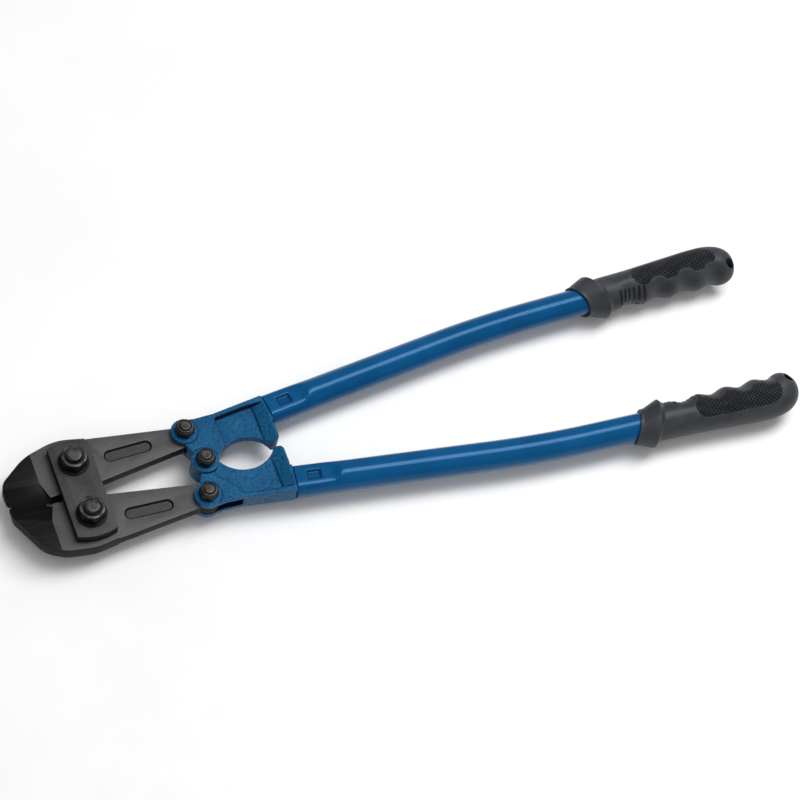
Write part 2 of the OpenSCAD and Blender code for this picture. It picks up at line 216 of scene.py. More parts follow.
class Nodes:
    """A small helper for wiring one material's nodes."""

    def __init__(self, name):
        self.material = bpy.data.materials.new(name)
        self.material.use_nodes = True
        self.tree = self.material.node_tree
        self.shader = self.tree.nodes["Principled BSDF"]
        self.place = self.add("ShaderNodeTexCoord").outputs["Object"]

    def add(self, kind, **values):
        node = self.tree.nodes.new(kind)
        for key, value in values.items():
            setattr(node, key, value)
        return node

    def link(self, source, target):
        self.tree.links.new(source, target)

    def noise(self, scale, detail=4.0, rough=0.6):
        node = self.add("ShaderNodeTexNoise")
        node.inputs["Scale"].default_value = scale
        node.inputs["Detail"].default_value = detail
        node.inputs["Roughness"].default_value = rough
        self.link(self.place, node.inputs["Vector"])
        return node.outputs["Fac"]

    def stretched_noise(self, scale, stretch, turn, detail=3.0):
        mapping = self.add("ShaderNodeMapping")
        mapping.inputs["Scale"].default_value = stretch
        mapping.inputs["Rotation"].default_value = (0, 0, turn)
        self.link(self.place, mapping.inputs["Vector"])
        node = self.add("ShaderNodeTexNoise")
        node.inputs["Scale"].default_value = scale
        node.inputs["Detail"].default_value = detail
        self.link(mapping.outputs["Vector"], node.inputs["Vector"])
        return node.outputs["Fac"]

    def ramp(self, source, low, high, out_low=0.0, out_high=1.0):
        node = self.add("ShaderNodeMapRange", interpolation_type="SMOOTHSTEP")
        node.inputs["From Min"].default_value = low
        node.inputs["From Max"].default_value = high
        node.inputs["To Min"].default_value = out_low
        node.inputs["To Max"].default_value = out_high
        self.link(source, node.inputs["Value"])
        return node.outputs["Result"]

    def mix(self, factor, a, b):
        node = self.add("ShaderNodeMix", data_type="RGBA")
        self.link(factor, node.inputs["Factor"])
        for value, socket in ((a, node.inputs["A"]), (b, node.inputs["B"])):
            if isinstance(value, tuple):
                socket.default_value = (*value, 1)
            else:
                self.link(value, socket)
        return node.outputs["Result"]

    def times(self, a, b):
        node = self.add("ShaderNodeMath", operation="MULTIPLY")
        self.link(a, node.inputs[0])
        self.link(b, node.inputs[1])
        return node.outputs[0]

    def attribute(self, name):
        node = self.add("ShaderNodeAttribute", attribute_name=name)
        return node.outputs["Fac"]

    def bump(self, height, distance, strength=1.0, under=None):
        node = self.add("ShaderNodeBump")
        node.inputs["Distance"].default_value = distance
        node.inputs["Strength"].default_value = strength
        self.link(height, node.inputs["Height"])
        if under is not None:
            self.link(under, node.inputs["Normal"])
        return node.outputs["Normal"]

    def finish(self, colour, roughness, normal, **fixed):
        self.link(colour, self.shader.inputs["Base Color"])
        self.link(roughness, self.shader.inputs["Roughness"])
        self.link(normal, self.shader.inputs["Normal"])
        for name, value in fixed.items():
            self.shader.inputs[name.replace("_", " ")].default_value = value
        return self.material


def forged_steel(name, dark, light, grain=1.0, shine=0.35, worn=(0.12, 0.12, 0.125)):
    """Blackened forged steel: sandy scale, faint blotches, brighter along worn edges."""
    n = Nodes(name)
    blotch = n.noise(38, 5, 0.65)
    fine = n.noise(900, 3, 0.7)
    colour = n.mix(n.ramp(blotch, 0.32, 0.68), dark, light)
    colour = n.mix(n.ramp(fine, 0.28, 0.45, 1.0, 0.0), colour, tuple(0.55 * c for c in dark))
    wear = n.ramp(n.times(n.attribute("edge"), n.noise(170, 4, 0.7)), 0.38, 0.62)
    colour = n.mix(wear, colour, worn)
    rough = n.ramp(blotch, 0.3, 0.75, 0.44, 0.6)
    normal = n.bump(fine, 0.00012 * grain, 0.8)
    normal = n.bump(n.noise(260, 4, 0.6), 0.00025 * grain, 0.6, normal)
    return n.finish(colour, rough, normal, Metallic=0.1, Specular_IOR_Level=shine)


def ground_steel(name, dark, light, turn, shine):
    """Ground facet, blackened after grinding: fine straight scratches."""
    n = Nodes(name)
    lines = n.stretched_noise(420, (0.05, 1.0, 0.3), turn)
    blotch = n.noise(45, 4)
    colour = n.mix(n.ramp(lines, 0.35, 0.7), dark, light)
    wear = n.ramp(n.times(n.attribute("edge"), n.noise(200, 4, 0.7)), 0.4, 0.6)
    colour = n.mix(wear, colour, (0.07, 0.07, 0.073))
    rough = n.ramp(blotch, 0.3, 0.7, 0.26, 0.4)
    normal = n.bump(lines, 0.00005, 0.5)
    return n.finish(colour, rough, normal, Specular_IOR_Level=shine)


def black_oxide(name, dark, light, metal):
    """Oiled black oxide with a brown cast."""
    n = Nodes(name)
    blotch = n.noise(240, 4, 0.6)
    colour = n.mix(n.ramp(blotch, 0.35, 0.7), dark, light)
    rough = n.ramp(blotch, 0.3, 0.75, 0.26, 0.44)
    normal = n.bump(n.noise(1100, 3), 0.00004, 0.6)
    return n.finish(colour, rough, normal, Metallic=metal)


def nylon():
    """The dull black ring in a lock nut."""
    n = Nodes("nylon")
    blotch = n.noise(300, 3)
    colour = n.mix(n.ramp(blotch, 0.3, 0.7), (0.004, 0.004, 0.005), (0.009, 0.009, 0.01))
    return n.finish(colour, n.ramp(blotch, 0.3, 0.7, 0.5, 0.65), n.bump(blotch, 0.00004))


BLUE_GLOSS = (0.27, 0.56, 1.0, 1.0)      # the enamel's highlights keep its colour


def casting_paint():
    """Blue enamel over a sand-cast surface."""
    n = Nodes("casting_paint")
    pebble = n.noise(560, 3, 0.55)
    lumps = n.noise(210, 3, 0.5)
    colour = n.mix(n.ramp(n.noise(45, 4), 0.3, 0.7), (0.005, 0.067, 0.162), (0.009, 0.092, 0.202))
    colour = n.mix(n.ramp(pebble, 0.32, 0.52), (0.003, 0.039, 0.108), colour)
    # A painted highlight, lighter blue, along the crests.
    crest_highlight = n.ramp(n.times(n.attribute("edge"), n.noise(150, 3)), 0.35, 0.6)
    colour = n.mix(crest_highlight, colour, (0.02, 0.12, 0.26))
    # Painted shade in corners, on the pocket's walls, on the ground's rim and inside the forks.
    colour = n.mix(n.attribute("painted_shade"), colour, (0.001, 0.008, 0.026))
    rough = n.ramp(lumps, 0.3, 0.7, 0.34, 0.5)
    normal = n.bump(pebble, 0.0005, 0.8)
    normal = n.bump(lumps, 0.0006, 0.6, normal)
    return n.finish(colour, rough, normal, Specular_IOR_Level=0.28, Specular_Tint=BLUE_GLOSS)


def tube_paint():
    """Glossy blue enamel with a slight orange peel."""
    n = Nodes("tube_paint")
    colour = n.mix(n.ramp(n.noise(26, 4), 0.3, 0.7), (0.001, 0.060, 0.172), (0.002, 0.076, 0.208))
    specks = n.ramp(n.noise(900, 2, 0.5), 0.62, 0.72)
    colour = n.mix(specks, colour, (0.005, 0.1, 0.26))
    # Painted shade in the crimp.
    colour = n.mix(n.attribute("painted_shade"), colour, (0.001, 0.012, 0.04))
    rough = n.ramp(n.noise(120, 4), 0.3, 0.7, 0.15, 0.23)
    normal = n.bump(n.noise(330, 2, 0.4), 0.00006, 0.5)
    return n.finish(colour, rough, normal, Specular_IOR_Level=0.34, Specular_Tint=BLUE_GLOSS,
                    Coat_Weight=0.05, Coat_Roughness=0.05)


def grip_rubber():
    """Satin moulded rubber, with painted shade in the pits of the knurl and the grooves of the
    neck ribs.
    """
    n = Nodes("grip_rubber")
    cloud = n.noise(60, 5, 0.6)
    fine = n.noise(1500, 2, 0.6)
    colour = n.mix(n.ramp(cloud, 0.3, 0.7), (0.026, 0.029, 0.034), (0.042, 0.046, 0.053))
    dust = n.ramp(n.noise(420, 5, 0.75), 0.6, 0.8)
    colour = n.mix(dust, colour, (0.045, 0.049, 0.056))
    # Painted shade in the pits.
    colour = n.mix(n.attribute("pit_shade"), colour, (0.0025, 0.0028, 0.0035))
    rough = n.ramp(cloud, 0.3, 0.7, 0.4, 0.52)
    normal = n.bump(fine, 0.00005, 0.7)
    return n.finish(colour, rough, normal, Specular_IOR_Level=0.22)


STEEL = forged_steel("forged_steel", (0.052, 0.052, 0.054), (0.072, 0.072, 0.075))
# A darker copy of the forged steel: painted shade on the steep sides of the jaws and plates, and
# on the washers.
STEEL_SHADED_SIDE = forged_steel("forged_side_painted_shade", (0.006, 0.006, 0.0065), (0.011, 0.011, 0.012), 1.5, 0.1,
                          (0.05, 0.05, 0.052))
# Painted shade for the walls of the label recess and the line round its floor.
RECESS_SHADE = forged_steel("recess_painted_shade", (0.003, 0.003, 0.003), (0.005, 0.005, 0.005), 1.0, 0.05,
                      (0.006, 0.006, 0.006))
LABEL = forged_steel("label_floor", (0.026, 0.026, 0.027), (0.040, 0.040, 0.042), 2.0)
PLATE = forged_steel("plate_steel", (0.027, 0.027, 0.029), (0.043, 0.043, 0.046), 1.3)
FACET = ground_steel("facet_steel", (0.007, 0.007, 0.0075), (0.012, 0.012, 0.013),
                     radians(80), 0.13)
BLADE = ground_steel("blade_steel", (0.0035, 0.003, 0.004), (0.006, 0.0055, 0.0065),
                     radians(25), 0.09)
# Lit and shaded copies of the oxide: the lighter one is painted light on faces that look up or
# down, the darker one painted shade on the sides.
OXIDE = black_oxide("black_oxide", (0.008, 0.0072, 0.0068), (0.02, 0.0185, 0.017), 0.6)
OXIDE_LIT_TOP = black_oxide("oxide_painted_light", (0.026, 0.0255, 0.0245), (0.062, 0.06, 0.057), 0.45)
NYLON = nylon()
CAST_BLUE = casting_paint()
TUBE_BLUE = tube_paint()
RUBBER = grip_rubber()


# ---- Tubes ---------------------------------------------------------------


def handle_frame(s):
    """Axis points and headings of the upper handle at lengths s from the casting."""
    s = np.asarray(s, float)
    front = np.minimum(s, FRONT_L)
    turned = np.clip((s - FRONT_L) / BEND_R, 0, TUBE_BEND)
    rear = np.maximum(s - FRONT_L - BEND_L, 0)
    heading = TUBE_ANGLE - turned
    x = END_X + front * cos(TUBE_ANGLE) + BEND_R * (sin(TUBE_ANGLE) - np.sin(heading)) \
        + rear * cos(REAR_ANGLE)
    y = AXIS_Y + front * sin(TUBE_ANGLE) + BEND_R * (np.cos(heading) - cos(TUBE_ANGLE)) \
        + rear * sin(REAR_ANGLE)
    return x, y, heading


def along_handle(s, out, up):
    """Plan points at lengths s along the handle, out from its axis and up."""
    x, y, heading = handle_frame(s)
    return np.stack([x - out * np.sin(heading), y + out * np.cos(heading), up + 0 * x], -1)


TUBE_AT = [0, 20, 40, 130, 240]   # lengths along the tube, and its radius there across the tool
TUBE_RADII = [12.0, 11.9, 11.5, 11.3, TUBE_R - 0.15]
FLAT_H, FLAT_END, ROUND_FROM = 9.0, 24, 40   # half height of the flat front, and where it ends
ROUND_H = 1.35 * TUBE_R           # a limit that no longer flattens the tube
FLAT_EDGE = 16                    # power of the blend from flat to round: the more, the sharper
# Where the crimp is, how deep, and how much painted shade its walls get.
CRIMP_AT, CRIMP_DEPTH, CRIMP_SHADE = 14.0, 1.35, 0.8
CRIMP_HALF_L, CRIMP_HALF_W = 3.4, 2.3        # half length and half width of the crimp's floor


def tube_mesh():
    """The upper tube, flat and crimped in front and round behind."""
    around = 160
    steps = np.concatenate([
        [0, 0, 0.15, 0.5], np.arange(1, 46, 0.5), np.arange(46, FRONT_L, 5),
        np.linspace(FRONT_L, FRONT_L + BEND_L, 40), [FRONT_L + BEND_L + REAR_L - 1]])
    wall = np.zeros((len(steps), 1))
    wall[:3, 0] = [2.0, 0.55, 0.14]
    s = steps[:, None]
    theta = np.linspace(0, 2 * pi, around, endpoint=False)[None, :]
    r = np.interp(s, TUBE_AT, TUBE_RADII)
    h = FLAT_H + (ROUND_H - FLAT_H) * between(s, FLAT_END, ROUND_FROM) ** 1.6
    flat = (np.abs(np.sin(theta)) / h) ** FLAT_EDGE
    rho = (r ** -FLAT_EDGE + flat) ** (-1 / FLAT_EDGE) - wall
    out, up = rho * np.cos(theta), rho * np.sin(theta)
    # the crimp: a punched pocket with a flat floor in each flat
    pocket = np.maximum((np.abs(s - CRIMP_AT) - CRIMP_HALF_L) / 2.8,
                        (np.abs(out) - CRIMP_HALF_W) / 2.0)
    sunk = (1 - smooth(pocket)) * (np.abs(up) > FLAT_H / 2)
    up = up - np.sign(up) * CRIMP_DEPTH * sunk
    mesh = rings_mesh("tube", along_handle(s + 0 * theta, out, up))
    # Painted shade on the crimp's walls, and lighter on its floor.
    walls, bed = 4 * sunk * (1 - sunk), sunk ** 4
    put_attribute(mesh, "painted_shade", (CRIMP_SHADE * walls + 0.25 * bed).ravel())
    return mesh


# ---- Grips ---------------------------------------------------------------

# Along a grip, s is the length from its start. Round it, side is the angle in degrees from
# the outer side, 0, over the top or the bottom, 90, to the inner side, 180.
LIP_R = 12.4                      # the mouth's radius
GRIP_AT = [-10, 4, 22, 45, 75, 100, 112, 125]                 # lengths, and the plain grip there:
OUTER_R = [LIP_R, 13.2, 14.1, 14.2, 15.3, 16.3, 16.4, 16.2]   # its reach outwards,
INNER_R = [LIP_R, 13.2, 14.1, 14.9, 16.1, 16.8, 17.5, 17.9]   # inwards,
FLANK_R = [LIP_R, 13.2, 14.1, 14.4, 15.4, 16.0, 16.1, 16.1]   # and up and down
HEEL_IN = 2.4                     # how far inwards the rounded rear end is centred
CREST_AT, CREST_R = 15.0, 18.1    # the guard's crest
GUARD_RISE, GUARD_FALL = 0.40, 1.05          # slopes before and behind the crest
SLANT = 0.42                      # the guard leans forwards on the outer side
GROOVE_FIRST, GROOVE_PITCH, GROOVE_DEPTH = 41.5, 24.5, 3.0    # hollows for the fingers
RIB_FIRST, RIB_PITCH, RIB_DEPTH = 32.0, 4.1, 1.2
# Where the hollows and the ribs fade in and out along the grip, and round it
GROOVES_IN, GROOVES_OUT, GROOVES_ROUND = (25, 39), (117, 127), (84, 150)
RIBS_IN, RIBS_OUT = (29.5, 31), (53, 54.5)
RIBS_ROUND_IN, RIBS_ROUND_OUT = (112, 124), (164, 176)
THIN_R = TUBE_R + 0.9             # the grip is never thinner than this
HANG_S, HANG_OUT, HANG_R = 130.8, -8.5, 4.0
KNURL_PITCH, KNURL_DEPTH = 3.25, 1.2
PANEL_FROM, PANEL_TO, PANEL_MIDDLE, PANEL_HALF = 56, 109, 1.9, 9.6    # the knurled panel
PANEL_R = 15.8                    # the grip's radius there, by which the panel is unrolled


def soft_min(a, b, power):
    """The smaller of two lengths, rounded where they meet: the higher the power, the less."""
    return (a ** -power + b ** -power) ** (-1 / power)


def rounded_cap(s, start, power):
    """1 up to start, then an oval fall to 0 at the rear end."""
    fall = np.clip((s - start) / (GRIP_L - start), 0, 1)
    return (1 - fall ** power) ** (1 / 2.2)


def grip_section(s, theta):
    """Places out and up round the plain grip, fuller behind on the inner side and rounded
    at the rear end."""
    centre = -HEEL_IN * between(s, 100, 128)
    outer = (np.interp(s, GRIP_AT, OUTER_R) - centre) * rounded_cap(s, 108, 2.5)
    inner = (np.interp(s, GRIP_AT, INNER_R) + centre) * rounded_cap(s, 125, 2.3)
    flank = np.interp(s, GRIP_AT, FLANK_R) * rounded_cap(s, 119, 2.5)
    turn = np.cos(theta)
    out = centre + np.where(turn > 0, outer, inner) * turn
    return out, flank * np.sin(theta)


def guard_radius(s, out):
    """Radius of the ridge in front of the hand: a cone up to a sharp crest, steep behind it."""
    past = s - CREST_AT + SLANT * out
    behind = np.maximum(past, 0)
    front = CREST_R + GUARD_RISE * past
    back = CREST_R - GUARD_FALL * behind + 0.03 * behind ** 2
    ridge = soft_min(np.maximum(front, 5), np.maximum(back, 5), 60)
    return np.where(past < 8, ridge, 0)


def finger_grooves(s, side):
    """Depth of the hollows for the fingers, which wrap round the inner side."""
    wave = 0.5 + 0.5 * np.cos(2 * pi * (s - GROOVE_FIRST) / GROOVE_PITCH)
    window = between(s, *GROOVES_IN) * (1 - between(s, *GROOVES_OUT))
    wrap = between(side, *GROOVES_ROUND)
    return GROOVE_DEPTH * wave ** 0.9 * window * wrap


def neck_ribs(s, side):
    """Short grooves across the first finger hollow, above and below."""
    window = between(side, *RIBS_ROUND_IN) * (1 - between(side, *RIBS_ROUND_OUT))
    along = between(s, *RIBS_IN) * (1 - between(s, *RIBS_OUT))
    wave = 0.5 + 0.5 * np.cos(2 * pi * (s - RIB_FIRST) / RIB_PITCH)
    return window * along * wave ** 1.5


def knurl(s, side, dents):
    """Depth of the diamond pockets in the panels above and below, and how much painted shade each
    point gets in a pit. The panels keep clear of the finger hollows."""
    across = PANEL_R * np.radians(90 - side)
    centre_s = np.clip(s, PANEL_FROM, PANEL_TO)
    edge = np.hypot(s - centre_s, across - PANEL_MIDDLE)
    panel = (1 - between(edge, PANEL_HALF, PANEL_HALF + 1)) * (1 - between(dents, 0.35, 0.9))
    p = (s + across) / KNURL_PITCH
    q = (s - across) / KNURL_PITCH
    to_ridge = np.minimum(np.abs(p - np.round(p)), np.abs(q - np.round(q))) * 2
    pocket = between(to_ridge, 0.12, 0.5)
    return panel * KNURL_DEPTH * pocket, panel * between(to_ridge, 0.2, 0.42)


def grip_mesh():
    """The upper grip, from its mouth to its rounded rear end, with the hanging hole cut."""
    around = 320
    theta = np.linspace(0, 2 * pi, around, endpoint=False)[None, :]
    cos_t, sin_t = np.cos(theta), np.sin(theta)
    mouth = [2.5, 0.6, 0.1, 0.0, 0.12, 0.35]
    t = np.concatenate([mouth, np.arange(0.7, 40, 0.36), np.arange(40, 121, 0.33),
                        np.linspace(121, GRIP_L, 64)[:-1], [GRIP_L - 0.04]])[:, None]
    reach = np.interp(t, [0, CREST_AT, 26, 44], [LIP_R, CREST_R, 12, 0])
    s = t - SLANT * reach * cos_t
    side = np.degrees(np.abs(np.angle(np.exp(1j * theta)))) + 0 * s
    out, up = grip_section(s, theta)
    r = np.maximum(np.hypot(out, up), guard_radius(s, out))
    dents = finger_grooves(s, side)
    dented = np.maximum(r - dents, np.minimum(r, THIN_R))
    depth, pit_shade = knurl(s, side, dents)
    rib = neck_ribs(s, side)
    new_r = dented - np.clip(dented - TUBE_R - 0.3, 0, RIB_DEPTH) * rib - depth
    scale = new_r / np.hypot(out, up)
    out, up = out * scale, up * scale
    # the mouth's first rings close in on the tube
    for ring, gap in enumerate((0.03, 0.05, 0.25, 0.75)):
        out[ring], up[ring] = (TUBE_R + gap) * cos_t[0], (TUBE_R + gap) * sin_t[0]
    # eased rims round the hanging hole
    rim = np.hypot(s - HANG_S, out - HANG_OUT) - HANG_R
    ease = 0.9 * (1 - between(rim, -0.2, 1.5)) ** 2 * (np.abs(up) > 3)
    up = up - np.sign(up) * ease
    base = FRONT_L + BEND_L + GRIP_START
    mesh = rings_mesh("grip", along_handle(base + s, out, up))
    # Painted shade in the knurl's pits and in the neck ribs' grooves.
    put_attribute(mesh, "pit_shade", np.maximum(pit_shade, rib ** 1.5).ravel())
    return cut_away(mesh, rings_mesh("drill", drill_rings(base)))


def drill_rings(base):
    """Rings of the rod that cuts the hanging hole."""
    turn = np.linspace(0, 2 * pi, 96, endpoint=False)[None, :]
    up = np.array([-20.0, -8, 0, 8, 20])[:, None] + 0 * turn
    return along_handle(base + HANG_S + HANG_R * np.cos(turn) + 0 * up,
                        HANG_OUT + HANG_R * np.sin(turn) + 0 * up, up)


def cut_away(mesh, tool_mesh):
    """The mesh with the tool's shape cut out of it."""
    outward(mesh)
    outward(tool_mesh)
    obj, tool = link_object("cut_tmp", mesh), link_object("tool_tmp", tool_mesh)
    cutter = obj.modifiers.new("cut", "BOOLEAN")
    cutter.operation = "DIFFERENCE"
    cutter.solver = "EXACT"
    cutter.object = tool
    mesh = modified(obj)
    bpy.data.objects.remove(tool)
    return mesh


# ---- Fasteners -----------------------------------------------------------

PLATE_TOP = 13.6                  # the link nuts' washers lie on the front plate,
BOSS_TOP = 9.0                    # and the other nuts on the castings' bosses

# Bolts: diameter, hexagon across flats, head height, pitch and turned-off tip
LINK_D, LINK_AF, LINK_HEAD, LINK_PITCH, LINK_TIP = 12, 18, 7.5, 1.75, 1.7
PIN_D, PIN_AF, PIN_HEAD, PIN_PITCH, PIN_TIP = 8, 13, 5.3, 1.25, 0.8
LINK_NUT_H, LINK_END = 8, 11      # heights of the nut and of the bolt's end over its seat
PIN_NUT_H, PIN_END = 7.6, 8.2
COLLAR_R, COLLAR_H = 5.7, 1.7     # the rolled collar of the smaller nuts
WASHER_R, WASHER_T = 11.2, 1.5
THREAD_L = 9
CHAMFER = radians(30)             # slope of the turned-off corners of heads and nuts
LIP_PER_D = 0.57                  # inner radius of a nut's lip, by the bolt's diameter


def polar_mesh(name, rings, around=96):
    """Rings of (z, radius) where a radius is a number or a function of the angle."""
    theta = np.linspace(0, 2 * pi, around, endpoint=False)
    points = []
    for z, r in rings:
        rho = r(theta) if callable(r) else r + 0 * theta
        points.append(np.stack([rho * np.cos(theta), rho * np.sin(theta), z + 0 * theta], -1))
    return rings_mesh(name, points)


def hexagon(across_flats, limit):
    """Radius of a hexagon with rounded corners, no larger than limit."""
    def radius(theta):
        turn = (theta + pi / 6) % (pi / 3) - pi / 6
        return soft_min(across_flats / 2 / np.cos(turn), limit, 40)
    return radius


def hex_body(af, h, face=0.93):
    """Rings of a hexagon whose corners are turned off at 30 degrees down to a flat face."""
    corner = af / sqrt(3) * 0.985
    drop = (corner - af / 2 * face) * tan(CHAMFER)
    rings = [(0, hexagon(af * 0.99, corner)), (0.18, hexagon(af, corner))]
    for k in np.linspace(0, 1, 9):
        rings.append((h - drop * (1 - k), hexagon(af, corner - drop * k / tan(CHAMFER))))
    return rings


def raised(rings, z):
    """The rings moved up by z."""
    return [(h + z, r) for h, r in rings]


def thread_mesh(d, pitch, z0, z1, dome):
    """Threaded bolt end: a helical groove, then a turned-off tip with a flat end."""
    theta = np.linspace(0, 2 * pi, 72, endpoint=False)[None, :]
    z = np.arange(z0, z1 - dome, pitch / 10)[:, None]
    phase = (z / pitch - theta / (2 * pi)) % 1
    groove = np.minimum(0.5 * pitch * (1 - 2 * np.abs(phase - 0.5)), 0.36 * pitch)
    groove = groove * (1 - between(z, z1 - dome - 0.7, z1 - dome - 0.1))
    rho = d / 2 - 0.02 - groove * 0.8
    tip = np.array([(0, 0.02), (0.25, 0.07), (0.6, 0.3), (0.85, 0.62), (0.96, 0.9), (1, 1.25)])
    tip_r = d / 2 - 0.02 - tip[:, 1:] * dome * 0.75 + 0 * theta
    rho = np.concatenate([rho, tip_r, 0.5 * tip_r[-1:]])
    z = np.concatenate([z, z1 - dome + dome * tip[:, :1], [[z1]]]) + 0 * theta
    return rings_mesh("thread", np.stack([rho * np.cos(theta), rho * np.sin(theta), z], -1))


def joined(name, meshes):
    """One mesh with all the meshes in it."""
    bm = bmesh.new()
    for mesh in meshes:
        bm.from_mesh(mesh)
    out = bpy.data.meshes.new(name)
    bm.to_mesh(out)
    bm.free()
    return out


def moved(mesh, x, y, z=0.0):
    """A copy of the mesh, moved."""
    mesh = mesh.copy()
    mesh.transform(Matrix.Translation((x, y, z)))
    return mesh


def paint_light_on_tops(mesh, level=0.7):
    """Faces that look up or down get the lighter copy of the oxide, painted light; the sides keep
    the darker copy, painted shade.
    """
    outward(mesh)
    set_materials(mesh, np.abs(face_data(mesh)[1][:, 2]) > level)
    return mesh


def bolt_mesh(d, af, head_h, z0, z1, pitch, dome):
    """Bolt up the Z axis, from its head under z0 to its threaded end at z1."""
    upside_down = [(head_h - h, r) for h, r in reversed(hex_body(af, head_h))]
    head = polar_mesh("head", raised(upside_down, z0 - head_h))
    shank = polar_mesh("shank", [(z0 - 0.5, d / 2), (z1 - THREAD_L, d / 2 - 0.01)])
    thread = thread_mesh(d, pitch, z1 - THREAD_L, z1, dome)
    return paint_light_on_tops(joined("bolt", [head, shank, thread]))


def nut_mesh(d, af, h, collar_r, collar_h):
    """Lock nut on z = 0. Its nylon ring sits in a rolled collar, if there is one."""
    body_h = h - collar_h
    rings = hex_body(af, body_h, 0.93 if collar_h else 0.985)
    if collar_h:
        rings += [(body_h, collar_r + 0.35), (body_h + 0.12, collar_r + 0.05),
                  (h - 0.35, collar_r - 0.05), (h - 0.1, collar_r - 0.15), (h, collar_r - 0.35)]
    lip_r = LIP_PER_D * d + 0.1
    rings += [(h, lip_r + 0.25), (h - 0.2, lip_r), (h - 0.9, lip_r - 0.1), (h - 0.95, d / 2 - 0.3)]
    return paint_light_on_tops(polar_mesh("nut", rings, 120), 0.9)


def insert_mesh(d, h):
    """Nylon ring near the top of a nut of height h."""
    ring_r = LIP_PER_D * d + 0.05
    return polar_mesh("insert", [
        (h - 2.1, ring_r), (h - 0.75, ring_r), (h - 0.6, ring_r - 0.15),
        (h - 0.6, d / 2 + 0.2), (h - 0.8, d / 2 - 0.2), (h - 1.1, d / 2 - 0.4)])


def washer_mesh(r, t):
    """Washer with eased edges on z = 0."""
    return polar_mesh("washer", [
        (0, r - 0.25), (0.2, r), (t - 0.25, r), (t - 0.05, r - 0.2), (t, r - 0.5)])


def add_link_fasteners():
    """The bolts, washers and nuts through the link plates."""
    oxide = [OXIDE, OXIDE_LIT_TOP]
    nut_z = PLATE_TOP + WASHER_T
    end_z = nut_z + LINK_END
    bolt = bolt_mesh(LINK_D, LINK_AF, LINK_HEAD, -PLATE_TOP, end_z, LINK_PITCH, LINK_TIP)
    nut = moved(nut_mesh(LINK_D, LINK_AF, LINK_NUT_H, 0, 0), 0, 0, nut_z)
    washer = moved(washer_mesh(WASHER_R, WASHER_T), 0, 0, PLATE_TOP)
    insert = moved(insert_mesh(LINK_D, LINK_NUT_H), 0, 0, nut_z)
    # The washers are dark all over with the steel's painted shade.
    for part, mesh, materials, slot in (("bolt", bolt, oxide, "bolt_steel"),
                                        ("nut", nut, oxide, "bolt_steel"),
                                        ("washer", washer, [STEEL_SHADED_SIDE], "bolt_steel"),
                                        ("nut_insert", insert, [NYLON], "nylon")):
        both_halves(f"link_{part}", moved(mesh, 0, LINK_Y), LINKS, materials)


def add_pin_fasteners():
    """The bolts and nuts that the jaws and the handles turn on."""
    oxide = [OXIDE, OXIDE_LIT_TOP]
    bolt = bolt_mesh(PIN_D, PIN_AF, PIN_HEAD, -BOSS_TOP, BOSS_TOP + PIN_END, PIN_PITCH, PIN_TIP)
    nut = moved(nut_mesh(PIN_D, PIN_AF, PIN_NUT_H, COLLAR_R, COLLAR_H), 0, 0, BOSS_TOP)
    insert = moved(insert_mesh(PIN_D, PIN_NUT_H), 0, 0, BOSS_TOP)
    for part, mesh, materials, slot in (("bolt", bolt, oxide, "bolt_steel"),
                                        ("nut", nut, oxide, "bolt_steel"),
                                        ("nut_insert", insert, [NYLON], "nylon")):
        both_halves(f"jaw_{part}", moved(mesh, PIN_X, PIN_Y), HANDLES, materials)
        finish_piece(f"centre_{part}_look", moved(mesh, PIVOT_X, 0), "lower_handle",
                     f"centre_{part}", materials)


# ---- Forged and cast pieces, refined from the frame's own shapes ----------


def frame_shape(node):
    """The node's mesh in plan millimetres, with its triangles merged into faces."""
    bm = bmesh.new()
    bm.from_mesh(frame["nodes"][node].data)
    bm.transform(PLAN.inverted())
    bmesh.ops.remove_doubles(bm, verts=bm.verts, dist=0.002)
    bmesh.ops.dissolve_degenerate(bm, edges=bm.edges, dist=0.002)
    bmesh.ops.dissolve_limit(bm, angle_limit=radians(0.4), verts=bm.verts, edges=bm.edges)
    bmesh.ops.recalc_face_normals(bm, faces=bm.faces)
    mesh = bpy.data.meshes.new(node + "_shape")
    bm.to_mesh(mesh)
    bm.free()
    return mesh


def eased(mesh, width):
    """The mesh with its sharp edges rounded."""
    obj = link_object("eased_tmp", mesh)
    bevel = obj.modifiers.new("ease", "BEVEL")
    bevel.width = width
    bevel.segments = 3
    bevel.limit_method = "ANGLE"
    bevel.angle_limit = radians(25)
    bevel.miter_outer = "MITER_ARC"
    bevel.use_clamp_overlap = True
    return modified(obj)


JAW_EASE, PLATE_EASE = 0.45, 0.6  # widths of the rounded edges
NARROW = 3.0                      # a rounding's faces are smaller than this, in square millimetres


def mark_edges(mesh):
    """Attribute "edge" is 1 on points whose faces are all narrow roundings."""
    largest = np.zeros(len(mesh.vertices))
    for face in mesh.polygons:
        for v in face.vertices:
            largest[v] = max(largest[v], face.area)
    put_attribute(mesh, "edge", largest < NARROW)


JAW_FINISHES = (STEEL, STEEL_SHADED_SIDE, FACET, BLADE, RECESS_SHADE, LABEL)
ON_FLAT, ON_SHADED_SIDE, ON_FACET, ON_BLADE, ON_RECESS_SHADE, ON_LABEL = range(6)
LABEL_X, LABEL_Y, LABEL_L, LABEL_R = 29.0, 24.3, 27.0, 4.75     # the blank recess in each arm
LABEL_TILT = radians(1.7)
LABEL_FLOOR = 2.8                 # its floor's height
LABEL_SHADOW_LINE = 1.25                 # width of the painted shadow line round its floor
LEVEL = 0.999                     # a level face's normal is at least this far up or down


